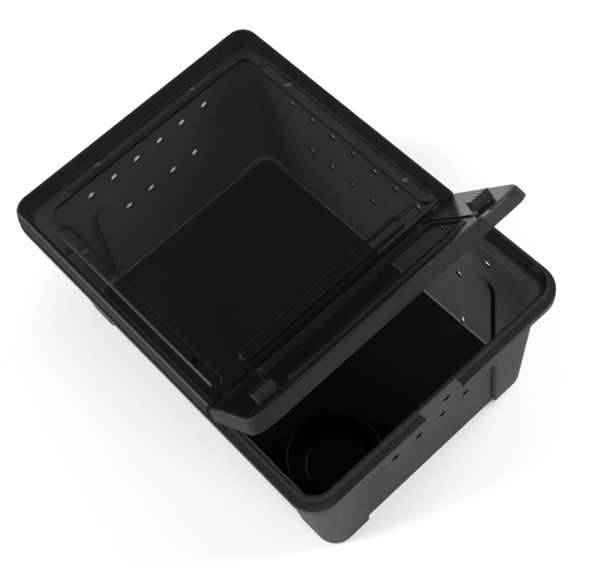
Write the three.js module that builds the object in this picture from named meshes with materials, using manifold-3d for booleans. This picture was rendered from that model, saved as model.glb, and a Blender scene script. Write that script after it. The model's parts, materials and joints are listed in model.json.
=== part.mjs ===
// Ventilated feeding box with a two-piece smoked lid: a tapered black tub, a lift-off main lid,
// a hinged feeding flap with two slide latches, and a loose round bowl on the floor.
// Millimetres, +Z up. X runs along the box, the flap is at +X. The origin is the centre of the base.
import * as THREE from 'three';
import { mergeVertices } from 'three/addons/utils/BufferGeometryUtils.js';
import Module from 'manifold-3d';

const wasm = await Module();
wasm.setup();

// ---- driving dimensions -------------------------------------------------------------------------
const DRAFT = 0.055; // sideways lean of every tub wall per mm of height
const WALL = 2.0; // tub wall thickness
const VENT_ROW_HIGH = 102.7; // height of the upper row of vents
const VENT_ROW_LOW = 68.3; // height of the lower row of vents
const INNER_HALF = { x: 147.3, y: 100.4 }; // inside half sizes at the upper vent row
const VENT_PITCH = 22;
const VENT_DIAMETER = 6;
const VENTS_LONG = [10, 8]; // vents in the upper and lower rows of a long wall
const VENTS_SHORT = [6, 4];
const CORNER_RADIUS = { base: 13, rim: 12 }; // inside radii at the floor and at the ledge
const RIM_RADIUS = { ledge: 13.5, ridge: 16.5, lip: 20 };

const FLOOR = 2.4; // top of the floor
const FLOOR_FILLET = 4;
const BASE_ROUND = 4; // rounding of the outer bottom edge
const STEP_HEIGHT = 117.7; // small ledge where the wall steps out to the rim
const LEDGE_HEIGHT = 135.7; // ledge inside the rim
const RIDGE_HEIGHT = 139.2; // top of the ridge that the lid rests over
const LIP_TOP = 131.5;
const LIP_BOTTOM = 125.5;
const LIP_THICKNESS = 2.0;
// how far each face of the rim stands outside the inner wall of the upper vent row
const OFFSET = { stepOut: 2.0, ledgeIn: 4.25, ridgeIn: 6.6, ridgeOut: 8.0, lip: 12.5 };

const PANEL_DEPTH = 3.2; // each wall's panel is pushed inwards by this much
const PANEL_TOP = 86.6;
const PANEL_CORNER = 11;
const PANEL_HALF = { long: { top: 106.6, base: 112.4 }, short: { top: 60.6, base: 66.2 } };

const NOTCH_WIDTH = 33; // finger notch in the lip at the flap end
const DRAIN = { x: 83, width: 3, low: 3.4, high: 14 };
const RIB_PITCH = { long: 32.6, short: 33.2 };
const RIB_WIDTH = 1.4;

const LID_TOP = 141.5;
const LID_THICKNESS = 1.6;
const SKIRT_BOTTOM = 132.0;
const SKIRT_THICKNESS = 1.3;
const LID_OFFSET = { top: 9.5, bottom: 11.3 };
const LID_CORNER = 13;
const SHOULDER = 2.4; // rounding between lid top and skirt
const BEAD_LEVEL = 140.3; // shallow step that carries the beads
const PANEL_LEVEL = 138.2; // sunken middle panel
const BEAD_TOP = 142.5;
const BEAD_HALF_WIDTH = 5.75;
const BEAD_HALF_LENGTH_Y = 73.5;

const LID_END = 58.3; // flap-side end of the main lid
const HINGE = { x: 61.5, z: 139.2, barrel: 2.3, pin: 1.3, bore: 1.55 };
const HINGE_LUG = { inner: 90.5, outer: 96.5 };
const FLAP_OPEN = 52.3; // degrees that the flap stands open at rest

const LATCH = { x0: 133.7, x1: 142.2, y0: 82, y1: 96, top: 148.8, travel: 4.5 };
const BOWL = { x: 97.4, y: -52, radius: 35.5, height: 17, wall: 1.8 };
const GAP = 0.3;

// ---- materials ----------------------------------------------------------------------------------
const blackPlastic = new THREE.MeshStandardMaterial({ color: 0x1c1c1d, roughness: 0.42, metalness: 0 });
const smokedPlastic = new THREE.MeshStandardMaterial({
  color: 0x2e2f31, roughness: 0.12, metalness: 0, transparent: true, opacity: 0.6,
});
const bowlPlastic = new THREE.MeshStandardMaterial({ color: 0x0c0c0d, roughness: 0.25, metalness: 0 });

// ---- solids from three.js geometry --------------------------------------------------------------
function solid(geometry) {
  const plain = geometry.clone();
  plain.deleteAttribute('normal');
  plain.deleteAttribute('uv');
  const merged = mergeVertices(plain, 1e-4);
  return new wasm.Manifold(new wasm.Mesh({
    numProp: 3,
    vertProperties: new Float32Array(merged.attributes.position.array),
    triVerts: new Uint32Array(merged.index.array),
  }));
}

function block(x0, x1, y0, y1, z0, z1) {
  const geometry = new THREE.BoxGeometry(x1 - x0, y1 - y0, z1 - z0);
  geometry.translate((x0 + x1) / 2, (y0 + y1) / 2, (z0 + z1) / 2);
  return solid(geometry);
}

// a cylinder between two points on a line parallel to X, Y or Z
function rod(axis, radius, from, to, segments = 12) {
  const start = new THREE.Vector3(...from);
  const end = new THREE.Vector3(...to);
  const geometry = new THREE.CylinderGeometry(radius, radius, start.distanceTo(end), segments);
  if (axis === 'x') geometry.rotateZ(Math.PI / 2);
  if (axis === 'z') geometry.rotateX(Math.PI / 2);
  const middle = start.add(end).multiplyScalar(0.5);
  geometry.translate(middle.x, middle.y, middle.z);
  return solid(geometry);
}

function roundedRectangle(halfX, halfY, radius) {
  const shape = new THREE.Shape();
  shape.absarc(halfX - radius, halfY - radius, radius, 0, Math.PI / 2);
  shape.absarc(-halfX + radius, halfY - radius, radius, Math.PI / 2, Math.PI);
  shape.absarc(-halfX + radius, -halfY + radius, radius, Math.PI, Math.PI * 1.5);
  shape.absarc(halfX - radius, -halfY + radius, radius, Math.PI * 1.5, Math.PI * 2);
  return shape;
}

// an extruded rounded rectangle whose rings are then moved to each section's own size and height
function loft(sections, segments = 6) {
  const first = sections[0];
  const geometry = new THREE.ExtrudeGeometry(roundedRectangle(first.x, first.y, first.r), {
    depth: sections.length - 1, steps: sections.length - 1, bevelEnabled: false, curveSegments: segments,
  });
  const position = geometry.attributes.position;
  for (let i = 0; i < position.count; i += 1) {
    const section = sections[Math.round(position.getZ(i))];
    const signX = Math.sign(position.getX(i));
    const signY = Math.sign(position.getY(i));
    const cos = (position.getX(i) - signX * (first.x - first.r)) / first.r;
    const sin = (position.getY(i) - signY * (first.y - first.r)) / first.r;
    const x = signX * (section.x - section.r) + section.r * cos;
    const y = signY * (section.y - section.r) + section.r * sin;
    position.setXYZ(i, x, y, section.z);
  }
  return solid(geometry);
}

function joined(list) {
  return wasm.Manifold.union(list);
}

function named(manifold, name, material) {
  const mesh = manifold.getMesh();
  const geometry = new THREE.BufferGeometry();
  geometry.setAttribute('position', new THREE.BufferAttribute(new Float32Array(mesh.vertProperties), 3));
  geometry.setIndex(new THREE.BufferAttribute(new Uint32Array(mesh.triVerts), 1));
  geometry.computeVertexNormals();
  const piece = new THREE.Mesh(geometry, material);
  piece.name = name;
  return piece;
}

function bothWays(values) {
  return [...values, ...values.map((value) => -value)];
}

// positions of a row of equally spaced items centred on zero
function row(count, pitch) {
  return Array.from({ length: count }, (_, i) => (i - (count - 1) / 2) * pitch);
}

// ---- tub ----------------------------------------------------------------------------------------
function ring(offset, z, radius) {
  return { x: INNER_HALF.x + offset, y: INNER_HALF.y + offset, r: radius, z };
}

function wallOffset(z) {
  return DRAFT * (z - VENT_ROW_HIGH);
}

function cornerRadius(z) {
  const t = z / LEDGE_HEIGHT;
  return CORNER_RADIUS.base + (CORNER_RADIUS.rim - CORNER_RADIUS.base) * t;
}

function wallRing(z, thickness, inset = 0) {
  return ring(wallOffset(z) + thickness - inset, z, cornerRadius(z) + thickness - inset);
}

// the panel outline, wider at the base, with rounded top corners
function panelOutline(half, grow) {
  const top = PANEL_TOP + grow;
  const bottom = -10;
  const slope = (half.base - half.top) / PANEL_TOP;
  const halfTop = half.top + grow;
  const halfBottom = halfTop + slope * (top - bottom);
  const shape = new THREE.Shape();
  shape.moveTo(-halfBottom, bottom);
  shape.lineTo(halfBottom, bottom);
  shape.lineTo(halfTop + slope * PANEL_CORNER, top - PANEL_CORNER);
  shape.quadraticCurveTo(halfTop, top, halfTop - PANEL_CORNER, top);
  shape.lineTo(-halfTop + PANEL_CORNER, top);
  shape.quadraticCurveTo(-halfTop, top, -halfTop - slope * PANEL_CORNER, top - PANEL_CORNER);
  return shape;
}

// a thick slab with the panel outline, leaning with the wall; its inner face is 'thickness' outside
// the panel's inside face. angle turns it from the +X wall to the others.
function panelSlab(half, reach, thickness, grow, angle) {
  const geometry = new THREE.ExtrudeGeometry(panelOutline(half, grow), {
    depth: 30, bevelEnabled: false, curveSegments: 5,
  });
  geometry.rotateX(Math.PI / 2);
  geometry.rotateZ(Math.PI / 2);
  geometry.rotateY(Math.atan(DRAFT));
  geometry.translate(reach + wallOffset(0) - PANEL_DEPTH + thickness, 0, 0);
  geometry.rotateZ(angle);
  return solid(geometry);
}

function panelSlabs(thickness, grow) {
  return joined([
    panelSlab(PANEL_HALF.short, INNER_HALF.x, thickness, grow, 0),
    panelSlab(PANEL_HALF.short, INNER_HALF.x, thickness, grow, Math.PI),
    panelSlab(PANEL_HALF.long, INNER_HALF.y, thickness, grow, Math.PI / 2),
    panelSlab(PANEL_HALF.long, INNER_HALF.y, thickness, grow, -Math.PI / 2),
  ]);
}

function ventHoles() {
  const radius = VENT_DIAMETER / 2;
  const rows = [VENT_ROW_HIGH, VENT_ROW_LOW];
  const holes = [];
  rows.forEach((z, level) => {
    for (const x of row(VENTS_LONG[level], VENT_PITCH)) {
      holes.push(rod('y', radius, [x, -120, z], [x, 120, z]));
    }
    for (const y of row(VENTS_SHORT[level], VENT_PITCH)) {
      holes.push(rod('x', radius, [-165, y, z], [165, y, z]));
    }
  });
  return joined(holes);
}

// narrow grooves across the inner ledge at a regular pitch
function ledgeGrooves() {
  const depth = 1.2;
  const low = LEDGE_HEIGHT - depth;
  const high = LEDGE_HEIGHT + 1;
  const half = RIB_WIDTH / 2;
  const grooves = [];
  for (const x of row(9, RIB_PITCH.long)) {
    const reach = INNER_HALF.y + OFFSET.ridgeIn;
    grooves.push(block(x - half, x + half, reach - 4, reach, low, high));
    grooves.push(block(x - half, x + half, -reach, 4 - reach, low, high));
  }
  for (const y of row(6, RIB_PITCH.short)) {
    const reach = INNER_HALF.x + OFFSET.ridgeIn;
    grooves.push(block(reach - 4, reach, y - half, y + half, low, high));
    grooves.push(block(-reach, 4 - reach, y - half, y + half, low, high));
  }
  return joined(grooves);
}

// upright grooves inside the rim, near the corners of the long sides
function rimGrooves() {
  const low = STEP_HEIGHT + 6;
  const high = LEDGE_HEIGHT + 1;
  const lean = Math.atan((OFFSET.ledgeIn - OFFSET.stepOut) / (LEDGE_HEIGHT - STEP_HEIGHT));
  const grooves = [];
  for (const x of bothWays([4 * RIB_PITCH.long])) {
    for (const turn of [0, Math.PI]) {
      const geometry = new THREE.BoxGeometry(RIB_WIDTH, 2, high - low);
      geometry.rotateX(-lean);
      geometry.translate(x, INNER_HALF.y + OFFSET.stepOut + 1.6, (low + high) / 2);
      geometry.rotateZ(turn);
      grooves.push(solid(geometry));
    }
  }
  return joined(grooves);
}

function drainSlot() {
  const { x, width, low, high } = DRAIN;
  const radius = width / 2;
  const slot = block(x - radius, x + radius, 80, 102, low + radius, high - radius);
  const top = rod('y', radius, [x, 80, high - radius], [x, 102, high - radius], 10);
  const bottom = rod('y', radius, [x, 80, low + radius], [x, 102, low + radius], 10);
  return joined([slot, top, bottom]);
}

// openings in the ridge that the two latch tongues slide into
function catchSlots() {
  const y0 = INNER_HALF.y + OFFSET.ridgeIn - 0.5;
  const y1 = INNER_HALF.y + OFFSET.ridgeOut + 0.5;
  const x0 = LATCH.x0 + 0.9;
  const x1 = LATCH.x1 - 0.9;
  const top = RIDGE_HEIGHT - 0.9;
  return joined([
    block(x0, x1, y0, y1, LEDGE_HEIGHT, top),
    block(x0, x1, -y1, -y0, LEDGE_HEIGHT, top),
  ]);
}

function makeTub() {
  const shell = loft([
    wallRing(0, WALL, BASE_ROUND * 0.6),
    wallRing(BASE_ROUND * 0.25, WALL, BASE_ROUND * 0.2),
    wallRing(BASE_ROUND, WALL),
    wallRing(STEP_HEIGHT - 2, WALL),
    ring(OFFSET.stepOut + WALL, STEP_HEIGHT + 1, RIM_RADIUS.ledge + 1),
    ring(OFFSET.ledgeIn + WALL - 0.6, LIP_TOP - 0.5, RIM_RADIUS.ledge + 1.5),
  ]);
  const lipRadius = RIM_RADIUS.lip;
  const lip = loft([ring(OFFSET.lip, LIP_BOTTOM, lipRadius), ring(OFFSET.lip, LIP_TOP, lipRadius)]);
  const channel = loft([
    ring(OFFSET.lip - LIP_THICKNESS, LIP_BOTTOM - 1, lipRadius - LIP_THICKNESS),
    ring(OFFSET.lip - LIP_THICKNESS, LIP_TOP - LIP_THICKNESS, lipRadius - LIP_THICKNESS),
  ]);
  const ridgeRadius = RIM_RADIUS.ridge;
  const ridge = loft([
    ring(OFFSET.ridgeOut, LIP_TOP - 0.5, ridgeRadius),
    ring(OFFSET.ridgeOut, RIDGE_HEIGHT, ridgeRadius),
  ]);
  const ledge = loft([
    ring(OFFSET.ridgeIn, LEDGE_HEIGHT, ridgeRadius - 1.4),
    ring(OFFSET.ridgeIn, RIDGE_HEIGHT + 1, ridgeRadius - 1.4),
  ]);
  const cavity = loft([
    wallRing(FLOOR, 0, FLOOR_FILLET),
    wallRing(FLOOR + FLOOR_FILLET * 0.3, 0, FLOOR_FILLET * 0.3),
    wallRing(FLOOR + FLOOR_FILLET, 0),
    wallRing(STEP_HEIGHT + 0.5, 0),
  ]);
  const rimCavity = loft([
    ring(OFFSET.stepOut, STEP_HEIGHT, RIM_RADIUS.ledge - 1),
    ring(OFFSET.ledgeIn, LEDGE_HEIGHT + 0.5, RIM_RADIUS.ledge),
  ]);
  const inside = cavity.subtract(panelSlabs(0, 0)).add(rimCavity);
  const notch = block(
    INNER_HALF.x + OFFSET.ridgeOut, INNER_HALF.x + 20, -NOTCH_WIDTH / 2, NOTCH_WIDTH / 2,
    LIP_BOTTOM - 2, LIP_TOP + 1,
  );
  return lip.subtract(channel).add(shell.subtract(panelSlabs(WALL, -WALL)))
    .add(ridge)
    .subtract(ledge)
    .subtract(inside)
    .subtract(joined([ventHoles(), ledgeGrooves(), rimGrooves(), notch, drainSlot(), catchSlots()]));
}

// ---- lid ----------------------------------------------------------------------------------------
// the full lid as one thin shell with a skirt, before it is divided into main lid and flap
function lidShell() {
  const { top, bottom } = LID_OFFSET;
  const flare = (bottom - top) / (LID_TOP - SKIRT_BOTTOM);
  const outer = loft([
    ring(bottom, SKIRT_BOTTOM, LID_CORNER + 1.2),
    ring(top + flare * SHOULDER, LID_TOP - SHOULDER, LID_CORNER),
    ring(top - SHOULDER * 0.2, LID_TOP - SHOULDER * 0.35, LID_CORNER - SHOULDER * 0.2),
    ring(top - SHOULDER * 0.9, LID_TOP, LID_CORNER - SHOULDER * 0.9),
  ]);
  const inner = loft([
    ring(bottom + flare - SKIRT_THICKNESS, SKIRT_BOTTOM - 1, LID_CORNER - 0.2),
    ring(top + flare * SHOULDER - SKIRT_THICKNESS, LID_TOP - SHOULDER, LID_CORNER - 1.2),
    ring(top - 2.2, LID_TOP - LID_THICKNESS, LID_CORNER - 3),
  ]);
  return outer.subtract(inner);
}

function flatBox(x0, x1, halfY, radius, z0, z1) {
  const middle = (x0 + x1) / 2;
  const size = { x: (x1 - x0) / 2, y: halfY, r: radius };
  return loft([{ ...size, z: z0 }, { ...size, z: z1 }], 4).translate([middle, 0, 0]);
}

// adds the two stepped-down levels to a lid plate
function sink(plate, bounds) {
  const { x0, x1, y, inset } = bounds;
  const wall = LID_THICKNESS;
  const shallow = flatBox(x0 - wall, x1 + wall, y + wall, 6, BEAD_LEVEL - wall, LID_TOP - 0.1);
  const deep = flatBox(
    x0 + inset - wall, x1 - inset + wall, y - bounds.insetY + wall, 8, PANEL_LEVEL - wall, BEAD_LEVEL,
  );
  const cutShallow = flatBox(x0, x1, y, 5, BEAD_LEVEL, LID_TOP + 1);
  const cutDeep = flatBox(x0 + inset, x1 - inset, y - bounds.insetY, 7, PANEL_LEVEL, BEAD_LEVEL + 1);
  return joined([plate, shallow, deep]).subtract(joined([cutShallow, cutDeep]));
}

function beadLoft(halfX, halfY, sections) {
  return loft(sections.map(({ z, inset }) => {
    const x = halfX - inset;
    const y = halfY - inset;
    return { x, y, r: Math.min(x, y) - 0.01, z };
  }), 5);
}

// a hollow raised bead with rounded ends
function addBead(plate, x, y, halfX, halfY) {
  const outside = beadLoft(halfX, halfY, [
    { z: BEAD_LEVEL - 0.2, inset: 0 },
    { z: BEAD_TOP - 0.8, inset: 0.9 },
    { z: BEAD_TOP, inset: 2.4 },
  ]);
  const hollow = beadLoft(halfX, halfY, [
    { z: PANEL_LEVEL - 3, inset: 1.8 },
    { z: BEAD_TOP - 1.6, inset: 2.6 },
  ]);
  return plate.add(outside.translate([x, y, 0])).subtract(hollow.translate([x, y, 0]));
}

function beadHole(x, y) {
  return rod('z', 2.75, [x, y, PANEL_LEVEL - 4], [x, y, BEAD_TOP + 2]);
}

// small fins under the lid that centre it inside the rim
function locatingFins() {
  const low = LEDGE_HEIGHT - 2.3;
  const high = LID_TOP - LID_THICKNESS + 0.3;
  const half = 0.7;
  const fins = [];
  const reachY = INNER_HALF.y + OFFSET.ledgeIn - 1;
  const reachX = INNER_HALF.x + OFFSET.ledgeIn - 1;
  for (const x of [-100, -57, -4, 39]) {
    fins.push(block(x - half, x + half, reachY - 5, reachY, low, high));
    fins.push(block(x - half, x + half, -reachY, 5 - reachY, low, high));
  }
  for (const y of row(4, 38.8)) {
    fins.push(block(-reachX, 5 - reachX, y - half, y + half, low, high));
  }
  return joined(fins);
}

// lugs on the end of the main lid; each carries a pin that reaches both ways into the flap's barrel
function hingeLugs() {
  const pieces = [];
  const { inner, outer } = HINGE_LUG;
  for (const side of [1, -1]) {
    const y0 = side > 0 ? inner : -outer;
    const y1 = side > 0 ? outer : -inner;
    pieces.push(rod('y', HINGE.barrel - 0.1, [HINGE.x, y0, HINGE.z], [HINGE.x, y1, HINGE.z], 16));
    pieces.push(block(LID_END - 2, HINGE.x, y0, y1, HINGE.z - 2, HINGE.z + 2));
    pieces.push(rod('y', HINGE.pin, [HINGE.x, y0 - 5, HINGE.z], [HINGE.x, y1 + 5, HINGE.z], 12));
  }
  return joined(pieces);
}

function makeMainLid() {
  const half = INNER_HALF;
  let lid = lidShell().intersect(block(-200, LID_END, -150, 150, 100, 160));
  const endWall = block(
    LID_END - LID_THICKNESS, LID_END, -half.y - 2, half.y + 2, LEDGE_HEIGHT + 0.8, LID_TOP - 0.2,
  );
  lid = sink(lid.add(endWall), { x0: -142.3, x1: 55.2, y: 97.3, inset: 10, insetY: 6.8 });
  lid = addBead(lid, -138.4, 0, BEAD_HALF_WIDTH, BEAD_HALF_LENGTH_Y);
  lid = addBead(lid, 48.9, 0, BEAD_HALF_WIDTH, BEAD_HALF_LENGTH_Y);
  lid = addBead(lid, -31.5, 94.3, 86.5, BEAD_HALF_WIDTH);
  lid = addBead(lid, -31.5, -94.3, 86.5, BEAD_HALF_WIDTH);
  const holes = [-88.5, 29.5].flatMap((x) => [beadHole(x, 94.3), beadHole(x, -94.3)]);
  holes.push(beadHole(-138.4, 44.2), beadHole(-138.4, -44.2));
  return joined([lid.subtract(joined(holes)), locatingFins(), hingeLugs()]);
}

function makeFlap() {
  const edge = INNER_HALF.y + OFFSET.ridgeIn - 0.9;
  const plateZone = block(HINGE.x + 0.6, 200, -150, 150, 100, 160);
  const tailZone = block(HINGE.x - 2.2, HINGE.x + 0.7, -150, 150, 100, HINGE.z);
  const shell = lidShell();
  const barrel = rod('y', HINGE.barrel, [HINGE.x, -edge, HINGE.z], [HINGE.x, edge, HINGE.z], 20);
  let flap = joined([shell.intersect(plateZone), shell.intersect(tailZone), barrel]);
  flap = sink(flap, { x0: HINGE.x + 3.6, x1: 145.2, y: 79, inset: 12.2, insetY: 2.4 });
  flap = addBead(flap, HINGE.x + 9.7, 0, BEAD_HALF_WIDTH, BEAD_HALF_LENGTH_Y);
  flap = addBead(flap, 139.2, 0, BEAD_HALF_WIDTH, BEAD_HALF_LENGTH_Y);
  const cuts = [];
  for (const side of [1, -1]) {
    const lug = [side * (HINGE_LUG.inner - 0.4), side * (HINGE_LUG.outer + 0.4)].sort((a, b) => a - b);
    cuts.push(block(HINGE.x - 3, HINGE.x + 3.2, lug[0], lug[1], HINGE.z - 4, LID_TOP + 1));
    cuts.push(rod('y', HINGE.bore, [HINGE.x, lug[0] - 5.4, HINGE.z], [HINGE.x, lug[1] + 5.4, HINGE.z]));
    const slot = [side * (LATCH.y0 + 2.2), side * (LATCH.y1 - 0.5)].sort((a, b) => a - b);
    cuts.push(block(LATCH.x0 + 1.2, LATCH.x1 - 1.2, slot[0], slot[1], LID_TOP - 3, LID_TOP + 1));
  }
  const front = INNER_HALF.x + LID_OFFSET.bottom;
  const scoopZ = SKIRT_BOTTOM - 25.4;
  const scoop = rod('x', 30, [front - 0.85, 0, scoopZ], [front + 4, 0, scoopZ], 48)
    .intersect(block(100, 200, -16, 16, SKIRT_BOTTOM + 0.9, LID_TOP));
  cuts.push(scoop);
  return flap.subtract(joined(cuts));
}

// a thumb block above the flap, a stem through its slot and a tongue below that slides outwards
function makeLatch(side) {
  const { x0, x1, y0, y1, top } = LATCH;
  const span = (a, b) => (side > 0 ? [a, b] : [-b, -a]);
  const thumb = block(x0, x1, ...span(y0, y1), LID_TOP + GAP, top);
  const stem = block(x0 + 1.5, x1 - 1.5, ...span(y0 + 2.6, y0 + 8.6), LID_TOP - 4, LID_TOP + 1);
  const padTop = LID_TOP - LID_THICKNESS - GAP;
  const pad = block(x0 + 1.2, x1 - 1.2, ...span(y0 + 1, y1 + 2), LID_TOP - 3.8, padTop);
  const tongue = block(x0 + 1.3, x1 - 1.3, ...span(y0 + 8, 103.7), LEDGE_HEIGHT + 0.5, RIDGE_HEIGHT - 1.2);
  const grip = [];
  for (const offset of row(4, 2.8)) {
    const middle = side * ((y0 + y1) / 2 + offset);
    grip.push(block(x0 - 1, x1 + 1, middle - 0.5, middle + 0.5, top - 0.6, top + 1));
  }
  return joined([thumb, stem, pad, tongue]).subtract(joined(grip));
}

// ---- bowl ---------------------------------------------------------------------------------------
function makeBowl() {
  const { radius, height, wall } = BOWL;
  const profile = [
    [0, 0.6], [radius - 9, 0.6], [radius - 8.4, 0], [radius - 5.6, 0], [radius - 4.6, 0.8],
    [radius - 0.6, height - 1.4], [radius, height - 1.2], [radius, height - 0.3], [radius - 0.4, height],
    [radius - 1.8, height], [radius - wall - 0.8, height - 0.8],
    [radius - 11.5, wall + 2.6], [radius - 14.5, wall + 0.8], [0, wall + 0.6],
  ];
  const points = profile.map(([x, y]) => new THREE.Vector2(x, y));
  const geometry = new THREE.LatheGeometry(points, 40);
  geometry.rotateX(Math.PI / 2);
  const placed = solid(geometry);
  return placed.volume() > 0 ? placed : solid(geometry.scale(1, -1, 1));
}

// ---- assembly -----------------------------------------------------------------------------------
const box = new THREE.Group();
box.add(named(makeTub(), 'tub', blackPlastic));
box.add(named(makeMainLid(), 'main_lid', smokedPlastic));

const bowl = named(makeBowl(), 'bowl', bowlPlastic);
bowl.position.set(BOWL.x, BOWL.y, FLOOR + GAP);
box.add(bowl);

// the flap and its latches are modelled closed, then turned open together about the hinge
const flapGroup = new THREE.Group();
flapGroup.position.set(HINGE.x, 0, HINGE.z);
flapGroup.rotation.y = -THREE.MathUtils.degToRad(FLAP_OPEN);
const closedFrame = new THREE.Group();
closedFrame.position.set(-HINGE.x, 0, -HINGE.z);
closedFrame.add(named(makeFlap(), 'flap', smokedPlastic));
closedFrame.add(named(makeLatch(1), 'latch_left', smokedPlastic));
closedFrame.add(named(makeLatch(-1), 'latch_right', smokedPlastic));
flapGroup.add(closedFrame);
box.add(flapGroup);

export default box;
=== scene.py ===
import json
import math

import bmesh
import bpy
from mathutils import Matrix, Vector


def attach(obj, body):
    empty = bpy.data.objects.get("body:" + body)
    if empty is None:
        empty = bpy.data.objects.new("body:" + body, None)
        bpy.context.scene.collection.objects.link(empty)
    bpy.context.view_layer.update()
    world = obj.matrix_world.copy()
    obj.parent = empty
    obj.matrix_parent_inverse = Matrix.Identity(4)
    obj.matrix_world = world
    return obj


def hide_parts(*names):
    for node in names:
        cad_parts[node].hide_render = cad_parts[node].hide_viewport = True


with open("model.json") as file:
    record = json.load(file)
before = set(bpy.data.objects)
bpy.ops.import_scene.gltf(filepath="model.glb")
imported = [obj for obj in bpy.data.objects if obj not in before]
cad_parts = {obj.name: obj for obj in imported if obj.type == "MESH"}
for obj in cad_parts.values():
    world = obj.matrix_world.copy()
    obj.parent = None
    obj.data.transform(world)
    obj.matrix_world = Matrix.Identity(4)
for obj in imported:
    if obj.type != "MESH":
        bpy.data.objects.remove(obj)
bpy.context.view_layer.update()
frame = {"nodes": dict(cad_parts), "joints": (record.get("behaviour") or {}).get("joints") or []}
NODES = frame["nodes"]
scene = bpy.context.scene
MM = 0.001

# the flap's hinge and how far the flap stands open, from its joint
FLAP_JOINT = next(joint for joint in frame["joints"] if joint["name"] == "flap_hinge")
HINGE = Vector(FLAP_JOINT["pos_m"])
FLAP_OPEN = math.radians(-FLAP_JOINT["range_deg"][0])
FLAP_NORMAL = (-math.sin(FLAP_OPEN), 0.0, math.cos(FLAP_OPEN))

# ------------------------------------------------------------------ camera
CAM_TARGET = Vector((14.0, -6.8, 102.7)) * MM
CAM_AZIMUTH = math.radians(61.09)
CAM_ELEVATION = math.radians(60.68)
CAM_ROLL = math.radians(-15.21)
CAM_DISTANCE = 905.7 * MM
CAM_SHIFT = (0.0213, 0.0023)
LENS_MM = 78.978
SENSOR_MM = 36.0
CLIP = (0.02, 20)


def make_camera():
    back = Vector((
        math.sin(CAM_AZIMUTH) * math.cos(CAM_ELEVATION),
        -math.cos(CAM_AZIMUTH) * math.cos(CAM_ELEVATION),
        math.sin(CAM_ELEVATION),
    ))
    forward = -back
    right = forward.cross(Vector((0, 0, 1))).normalized()
    up = right.cross(forward)
    rolled_right = math.cos(CAM_ROLL) * right + math.sin(CAM_ROLL) * up
    rolled_up = -math.sin(CAM_ROLL) * right + math.cos(CAM_ROLL) * up
    data = bpy.data.cameras.new("camera")
    data.sensor_fit = "HORIZONTAL"
    data.sensor_width = SENSOR_MM
    data.lens = LENS_MM
    data.shift_x, data.shift_y = CAM_SHIFT
    data.clip_start, data.clip_end = CLIP
    data.dof.use_dof = False
    camera = bpy.data.objects.new("camera", data)
    scene.collection.objects.link(camera)
    rotation = Matrix((rolled_right, rolled_up, back)).transposed()
    camera.matrix_world = Matrix.Translation(CAM_TARGET + back * CAM_DISTANCE) @ rotation.to_4x4()
    bpy.context.scene.camera = camera


# ------------------------------------------------------------------ studio
# each soft box: name, direction from the object, width and height in metres, power in watts
SOFT_BOXES = (
    ("side_left", (-0.42, -0.65, 0.63), (1.4, 1.1), 46),
    ("side_front", (0.85, -0.1, 0.5), (1.1, 1.1), 24),
    ("side_back", (0.3, 0.8, 0.56), (1.8, 1.2), 52),
)
LIGHT_DISTANCE = 2.2
LIGHT_AIM = Vector((0, 0, 0.08))
SKY_HORIZON = 0.95        # brightness of the surroundings at the horizon
SKY_TOP = 0.16            # and from SKY_FADE upwards, so that the lid's top stays dark
SKY_FADE = 0.35           # Z of the sky's direction where the fade ends
FLOOR_HALF = 6.0
FLOOR_DROP = 0.4 * MM     # keeps the floor clear of the tub's flat base
FLOOR_WHITE = (0.96, 0.96, 0.96, 1)


def soft_box(name, direction, size, power):
    data = bpy.data.lights.new(name, "AREA")
    data.shape = "RECTANGLE"
    data.size, data.size_y = size
    data.energy = power
    light = bpy.data.objects.new(name, data)
    scene.collection.objects.link(light)
    away = Vector(direction).normalized()
    light.location = LIGHT_AIM + away * LIGHT_DISTANCE
    light.rotation_euler = away.to_track_quat("Z", "Y").to_euler()


def make_sky():
    world = bpy.data.worlds.new("studio")
    scene.world = world
    world.use_nodes = True
    tree = world.node_tree
    coordinates = tree.nodes.new("ShaderNodeTexCoord")
    split = tree.nodes.new("ShaderNodeSeparateXYZ")
    fade = tree.nodes.new("ShaderNodeMapRange")
    fade.interpolation_type = "SMOOTHSTEP"
    fade.inputs["From Min"].default_value = 0.0
    fade.inputs["From Max"].default_value = SKY_FADE
    fade.inputs["To Min"].default_value = SKY_HORIZON
    fade.inputs["To Max"].default_value = SKY_TOP
    tree.links.new(coordinates.outputs["Generated"], split.inputs[0])
    tree.links.new(split.outputs["Z"], fade.inputs["Value"])
    background = tree.nodes["Background"]
    background.inputs["Color"].default_value = (1, 1, 1, 1)
    tree.links.new(fade.outputs["Result"], background.inputs["Strength"])


def make_floor():
    mesh = bpy.data.meshes.new("floor")
    corners = [(x * FLOOR_HALF, y * FLOOR_HALF, 0) for x, y in ((-1, -1), (1, -1), (1, 1), (-1, 1))]
    mesh.from_pydata(corners, [], [(0, 1, 2, 3)])
    floor = bpy.data.objects.new("floor", mesh)
    floor.location = (0, 0, -FLOOR_DROP)
    scene.collection.objects.link(floor)
    material = bpy.data.materials.new("floor_paper")
    material.use_nodes = True
    shader = material.node_tree.nodes["Principled BSDF"]
    shader.inputs["Base Color"].default_value = FLOOR_WHITE
    shader.inputs["Roughness"].default_value = 0.75
    shader.inputs["Specular IOR Level"].default_value = 0.1
    mesh.materials.append(material)


def make_studio():
    scene.view_settings.view_transform = "Standard"
    scene.view_settings.look = "None"
    scene.view_settings.exposure = 0
    scene.view_settings.gamma = 1
    make_sky()
    for light in SOFT_BOXES:
        soft_box(*light)
    make_floor()


# ------------------------------------------------------------------ material helper
MIDDLE = (0.3, 0.7)       # the part of a noise texture's range that most of its area falls in
NARROW = (0.35, 0.65)     # the same for a finer, more contrasted grain
WALL_ASPECT = 1.47        # the tub's inner length over its inner width


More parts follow.
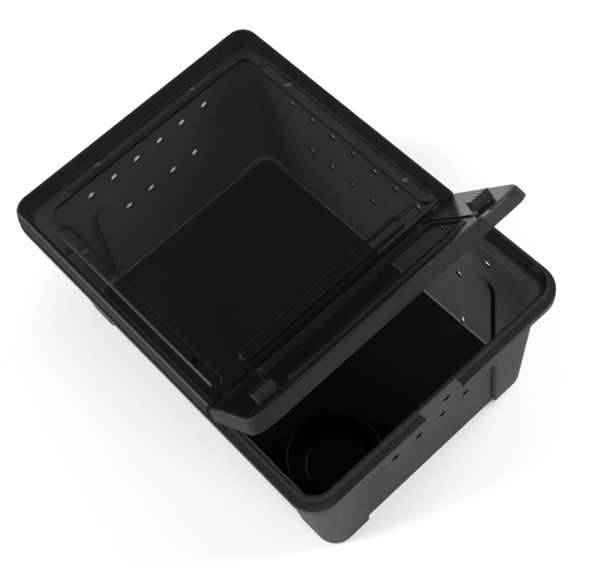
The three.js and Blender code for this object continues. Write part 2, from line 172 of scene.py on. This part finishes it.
class Nodes:
    """Short names for building one material's node tree."""

    def __init__(self, name):
        self.material = bpy.data.materials.new(name)
        self.material.use_nodes = True
        self.tree = self.material.node_tree
        self.shader = self.tree.nodes["Principled BSDF"]
        coordinates = self.tree.nodes.new("ShaderNodeTexCoord")
        self.position = coordinates.outputs["Object"]

    def link(self, a, b):
        self.tree.links.new(a, b)

    def feed(self, socket, value):
        """Links a node's output to one of the shader's sockets, by the socket's name."""
        self.link(value, self.shader.inputs[socket])

    def uniform(self, socket, value):
        """Sets one value for the whole surface on the shader's own socket."""
        self.shader.inputs[socket].default_value = value

    def noise(self, scale, detail, roughness, stretch=None):
        node = self.tree.nodes.new("ShaderNodeTexNoise")
        node.inputs["Scale"].default_value = scale
        node.inputs["Detail"].default_value = detail
        node.inputs["Roughness"].default_value = roughness
        source = self.position
        if stretch:
            mapping = self.tree.nodes.new("ShaderNodeMapping")
            mapping.inputs["Scale"].default_value = stretch
            self.link(self.position, mapping.inputs["Vector"])
            source = mapping.outputs["Vector"]
        self.link(source, node.inputs["Vector"])
        return node.outputs["Fac"]

    def ramp(self, value, span, result):
        """Turns the span of a value into the result's span, with no overshoot."""
        node = self.tree.nodes.new("ShaderNodeMapRange")
        node.inputs["From Min"].default_value, node.inputs["From Max"].default_value = span
        node.inputs["To Min"].default_value, node.inputs["To Max"].default_value = result
        self.link(value, node.inputs["Value"])
        return node.outputs["Result"]

    def colour(self, factor, low, high):
        """Mixes two tints, or the outputs of nodes that make them."""
        node = self.tree.nodes.new("ShaderNodeMix")
        node.data_type = "RGBA"
        for socket, value in ((node.inputs[6], low), (node.inputs[7], high)):
            if isinstance(value, tuple):
                socket.default_value = (*value, 1)
            else:
                self.link(value, socket)
        self.link(factor, node.inputs[0])
        return node.outputs[2]

    def combine(self, operation, a, b=0):
        node = self.tree.nodes.new("ShaderNodeMath")
        node.operation = operation
        for socket, value in zip(node.inputs, (a, b)):
            if isinstance(value, (int, float)):
                socket.default_value = value
            else:
                self.link(value, socket)
        return node.outputs[0]

    def plus(self, a, b):
        return self.combine("ADD", a, b)

    def times(self, a, b):
        return self.combine("MULTIPLY", a, b)

    def split(self, vector):
        node = self.tree.nodes.new("ShaderNodeSeparateXYZ")
        self.link(vector, node.inputs[0])
        return node.outputs

    def height(self):
        """Height above the floor, in metres."""
        return self.split(self.position)["Z"]

    def normal(self):
        """The face's own direction, in the frame the part was modelled in, so it moves with the piece."""
        geometry = self.tree.nodes.new("ShaderNodeNewGeometry")
        turned = self.tree.nodes.new("ShaderNodeVectorTransform")
        turned.vector_type = "NORMAL"
        turned.convert_from = "WORLD"
        turned.convert_to = "OBJECT"
        self.link(geometry.outputs["True Normal"], turned.inputs[0])
        return turned.outputs[0]

    def facing_in(self):
        """1 on wall faces that look towards the middle of the box, 0 on those that look away from it."""
        place = self.split(self.position)
        way = self.split(self.normal())
        outward_x = self.times(self.combine("SIGN", place["X"]), way["X"])
        outward_y = self.times(self.combine("SIGN", place["Y"]), way["Y"])
        reach_x = self.combine("ABSOLUTE", place["X"])
        reach_y = self.times(self.combine("ABSOLUTE", place["Y"]), WALL_ASPECT)
        long_wall = self.combine("GREATER_THAN", reach_y, reach_x)
        turn = self.times(long_wall, self.combine("SUBTRACT", outward_y, outward_x))
        return self.ramp(self.plus(outward_x, turn), (0.2, 0.4), (1, 0))

    def slope(self, plate_normal):
        """0 on faces that lie along the plate, 1 on faces that stand up from it."""
        node = self.tree.nodes.new("ShaderNodeVectorMath")
        node.operation = "DOT_PRODUCT"
        self.link(self.normal(), node.inputs[0])
        node.inputs[1].default_value = plate_normal
        return self.ramp(self.combine("ABSOLUTE", node.outputs["Value"]), (0.72, 0.96), (1, 0))

    def bump(self, height, distance, strength):
        node = self.tree.nodes.new("ShaderNodeBump")
        node.inputs["Distance"].default_value = distance
        node.inputs["Strength"].default_value = strength
        self.link(height, node.inputs["Height"])
        self.feed("Normal", node.outputs["Normal"])


# ------------------------------------------------------------------ materials
# the tub's tints, each pair from the darker clouds to the lighter ones
RIM_TINTS = (0.019, 0.0192, 0.0197), (0.025, 0.0252, 0.0258)
OUTER_WALL_TINT = (0.0135, 0.0137, 0.0142)
# painted light: the inner walls are the same black plastic, tinted lighter to stand in for the light that
# falls on them
INNER_WALL_PAINTED_LIGHT_TINTS = (0.088, 0.0885, 0.0898), (0.104, 0.1045, 0.106)
# painted highlight: a light band on the floor fillet where it would catch the light
FILLET_PAINTED_HIGHLIGHT_TINT = (0.26, 0.2615, 0.265)
FLOOR_TINT = (0.009, 0.0091, 0.0094)
# heights between which the tub goes from one zone to the next
RIM_FOOT = (124 * MM, 130 * MM)
FLOOR_TOP = (2.45 * MM, 2.7 * MM)
# the painted highlight on the fillet fades in and out between these heights
FILLET_FOOT = (2.6 * MM, 3.6 * MM)
FILLET_HEAD = (4.4 * MM, 6.4 * MM)

SMOKE_TINTS = (0.0035, 0.0036, 0.0038), (0.006, 0.0061, 0.0064)
SMOKE_SLOPE_TINT = (0.007, 0.0071, 0.0073)
DEEP_SMOKE_TINTS = (0.0016, 0.0016, 0.0018), (0.0034, 0.0034, 0.0037)
BOWL_TINTS = (0.0008, 0.0008, 0.0009), (0.0014, 0.0014, 0.0015)


def black_polypropylene():
    """Moulded black plastic: satin outside, matt inner walls tinted lighter as painted light, a painted
    highlight along the floor fillet, dark floor.
    """
    m = Nodes("black_polypropylene")
    cloud = m.noise(22, 3, 0.55, (1, 1, 2.2))
    fleck = m.noise(900, 2, 0.6)
    grain = m.noise(2600, 3, 0.65)
    height = m.height()
    clouded = m.ramp(cloud, MIDDLE, (0, 1))
    below_rim = m.ramp(height, RIM_FOOT, (1, 0))
    inner = m.times(m.facing_in(), below_rim)
    floor = m.ramp(height, FLOOR_TOP, (1, 0))
    fillet = m.times(m.ramp(height, FILLET_FOOT, (0, 1)), m.ramp(height, FILLET_HEAD, (1, 0)))

    tint = m.colour(below_rim, m.colour(clouded, *RIM_TINTS), OUTER_WALL_TINT)
    # painted light: inner wall faces below the rim take the lighter tint
    tint = m.colour(inner, tint, m.colour(clouded, *INNER_WALL_PAINTED_LIGHT_TINTS))
    # painted highlight on the inner floor fillet
    tint = m.colour(m.times(fillet, inner), tint, FILLET_PAINTED_HIGHLIGHT_TINT)
    tint = m.colour(floor, tint, FLOOR_TINT)
    m.feed("Base Color", tint)

    rough = m.plus(m.ramp(cloud, MIDDLE, (0.36, 0.43)), m.ramp(fleck, NARROW, (-0.03, 0.04)))
    rough = m.plus(rough, m.times(inner, 0.06))
    rough = m.combine("SUBTRACT", rough, m.times(floor, 0.1))
    m.feed("Roughness", rough)
    m.uniform("IOR", 1.49)
    m.uniform("Specular IOR Level", 0.05)
    m.bump(m.plus(m.times(grain, 0.5), fleck), 0.02 * MM, 0.5)
    return m.material


def smoked_plastic(name, clear, steep, plate_normal=(0, 0, 1)):
    """Smoke-tinted clear plastic: alpha is clear on flat plate, and steep on ribs, steps and skirts."""
    m = Nodes(name)
    ripple = m.noise(60, 2, 0.5, (1, 0.4, 1))
    haze = m.noise(14, 4, 0.6)
    grain = m.noise(1500, 2, 0.6)
    slope = m.slope(plate_normal)
    tint = m.colour(m.ramp(haze, MIDDLE, (0, 1)), *SMOKE_TINTS)
    m.feed("Base Color", m.colour(slope, tint, SMOKE_SLOPE_TINT))

    polish = m.plus(m.ramp(haze, MIDDLE, (0.14, 0.22)), m.ramp(grain, NARROW, (-0.02, 0.03)))
    m.feed("Roughness", m.plus(polish, m.times(slope, 0.62)))
    m.uniform("IOR", 1.5)
    m.uniform("Specular IOR Level", 0.35)

    # looked at along the plate, light crosses more plastic
    weight = m.tree.nodes.new("ShaderNodeLayerWeight")
    weight.inputs["Blend"].default_value = 0.5
    slant = m.times(m.combine("POWER", weight.outputs["Facing"], 2), 0.3)
    alpha = m.plus(m.ramp(slope, (0, 1), (clear, steep)), m.ramp(haze, MIDDLE, (-0.015, 0.015)))
    m.feed("Alpha", m.combine("MINIMUM", m.plus(alpha, slant), 0.97))
    m.bump(ripple, 0.04 * MM, 0.2)
    return m.material


def deep_smoked_plastic():
    """The same tinted plastic where it stands on edge: nearly black, with a soft broken sheen."""
    m = Nodes("smoked_plastic_deep")
    cloud = m.noise(40, 3, 0.5)
    grain = m.noise(1500, 2, 0.6)
    m.feed("Base Color", m.colour(m.ramp(cloud, MIDDLE, (0, 1)), *DEEP_SMOKE_TINTS))
    m.feed("Roughness", m.ramp(cloud, MIDDLE, (0.5, 0.62)))
    m.uniform("Specular IOR Level", 0.15)
    m.uniform("Alpha", 0.97)
    m.bump(grain, 0.01 * MM, 0.3)
    return m.material


def bowl_plastic():
    """Deep black dish plastic with a soft gloss and a fine grain; the tub's vent and drain walls take it
    too, as painted shade in the holes.
    """
    m = Nodes("bowl_plastic")
    cloud = m.noise(30, 3, 0.5)
    grain = m.noise(1800, 2, 0.6)
    m.feed("Base Color", m.colour(m.ramp(cloud, MIDDLE, (0, 1)), *BOWL_TINTS))
    m.feed("Roughness", m.ramp(cloud, MIDDLE, (0.28, 0.36)))
    m.uniform("Specular IOR Level", 0.2)
    m.bump(grain, 0.03 * MM, 0.3)
    return m.material


# ------------------------------------------------------------------ which faces take the second material
RIB_SIDE = 0.9            # a face turned further than this from its plate is the side of a rib or step
LID_RECESS_X = (-143.5 * MM, 56.5 * MM)
FLAP_RECESS = (4 * MM, 82 * MM)     # distance from the hinge along the flap
RECESS_HALF_Y = 98.5 * MM
VENT_PITCH = 22 * MM
VENT_LEVELS = (102.7 * MM, 68.3 * MM)
VENT_REACH = 3.4 * MM     # a little more than a vent's radius
HOLE_FACING = 0.8         # a face turned closer to its wall's direction than this is the wall itself
DRAIN_X = 83 * MM
DRAIN_REACH = 2 * MM
DRAIN_MIN_Y = 90 * MM
DRAIN_TOP = 15 * MM


def lid_rib_side(centre, normal):
    """Walls of the ribs and steps inside the lid's recess, where light crosses the most plastic."""
    low, high = LID_RECESS_X
    inside = low < centre.x < high and abs(centre.y) < RECESS_HALF_Y
    return inside and abs(normal.z) < RIB_SIDE


def flap_rib_side(centre, normal):
    """The same walls on the flap, measured along its open plate from the hinge."""
    along = (centre.x - HINGE.x) * math.cos(FLAP_OPEN) + (centre.z - HINGE.z) * math.sin(FLAP_OPEN)
    low, high = FLAP_RECESS
    inside = low < along < high and abs(centre.y) < RECESS_HALF_Y
    return inside and abs(normal.dot(Vector(FLAP_NORMAL))) < RIB_SIDE


def painted_shade_hole_side(centre, normal):
    """The short walls inside the tub's vents and drain slot, which take the near-black bowl plastic as
    painted shade inside the holes.
    """
    end_wall = abs(centre.y) * WALL_ASPECT < abs(centre.x)
    facing, along = (normal.x, centre.y) if end_wall else (normal.y, centre.x)
    if abs(facing) > HOLE_FACING:
        return False
    if abs(centre.x - DRAIN_X) < DRAIN_REACH and centre.y > DRAIN_MIN_Y and centre.z < DRAIN_TOP:
        return True
    step = abs(along) - VENT_PITCH / 2
    across = step - VENT_PITCH * round(step / VENT_PITCH)
    return any(math.hypot(across, centre.z - level) < VENT_REACH for level in VENT_LEVELS)


# ------------------------------------------------------------------ pieces
WELD = 0.002 * MM                # corners closer than this become one
FLAT = math.radians(0.2)         # faces that turn less than this become one flat face
SHARP = math.radians(28)         # edges that turn more than this are rounded
ROUND_SEGMENTS = 2


def rounded_copy(node, name, width, second_test):
    """A new piece with the CAD body's shape, cleaned to real flat faces and with its sharp edges rounded."""
    mesh = NODES[node].data.copy()
    mesh.name = name
    mesh.materials.clear()
    bm = bmesh.new()
    bm.from_mesh(mesh)
    bmesh.ops.remove_doubles(bm, verts=bm.verts, dist=WELD)
    bmesh.ops.dissolve_limit(
        bm, angle_limit=FLAT, verts=bm.verts, edges=bm.edges, use_dissolve_boundaries=False,
    )
    sharp_edges = [edge for edge in bm.edges if edge.calc_face_angle(0) > SHARP]
    bmesh.ops.bevel(
        bm, geom=sharp_edges, offset=width, offset_type="OFFSET", segments=ROUND_SEGMENTS, profile=0.5,
        affect="EDGES", clamp_overlap=False,
    )
    bmesh.ops.triangulate(bm, faces=bm.faces)
    for face in bm.faces:
        second = second_test and second_test(face.calc_center_median(), face.normal)
        face.material_index = 1 if second else 0
    bm.to_mesh(mesh)
    bm.free()
    # the CAD's own shading marks no longer fit the new faces
    leftovers = [a.name for a in mesh.attributes if "sharp" in a.name or "normal" in a.name]
    for leftover in leftovers:
        mesh.attributes.remove(mesh.attributes[leftover])
    for polygon in mesh.polygons:
        polygon.use_smooth = True
    piece = bpy.data.objects.new(name, mesh)
    scene.collection.objects.link(piece)
    weighted = piece.modifiers.new("weighted_normals", "WEIGHTED_NORMAL")
    weighted.weight = 100
    weighted.mode = "FACE_AREA"
    return piece


def build(node, body, width, material, second=None, second_test=None):
    """Finishes one CAD node; faces that pass second_test take the second material."""
    piece = rounded_copy(node, node + "_finished", width, second_test)
    piece.data.materials.append(material)
    if second:
        piece.data.materials.append(second)
    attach(piece, body)
    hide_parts(node)
    return piece


make_camera()
make_studio()
tub_black = black_polypropylene()
smoke = smoked_plastic("smoked_plastic", 0.44, 0.88)
smoke_flap = smoked_plastic("smoked_plastic_flap", 0.3, 0.86, FLAP_NORMAL)
deep_smoke = deep_smoked_plastic()
smoke_latch = smoked_plastic("smoked_plastic_latch", 0.72, 0.92, FLAP_NORMAL)
bowl_black_and_hole_shade = bowl_plastic()

# the vent and drain walls take the near-black bowl plastic: painted shade inside the holes
build("tub", "tub", 0.18 * MM, tub_black, bowl_black_and_hole_shade, painted_shade_hole_side)
lid = build("main_lid", "lid", 0.15 * MM, smoke, deep_smoke, lid_rib_side)
lid.visible_shadow = False    # lets the soft boxes light the inside through the tinted lid
build("flap", "flap", 0.12 * MM, smoke_flap, deep_smoke, flap_rib_side)
build("latch_left", "latch_l", 0.1 * MM, smoke_latch)
build("latch_right", "latch_r", 0.1 * MM, smoke_latch)
build("bowl", "bowl", 0.25 * MM, bowl_black_and_hole_shade)
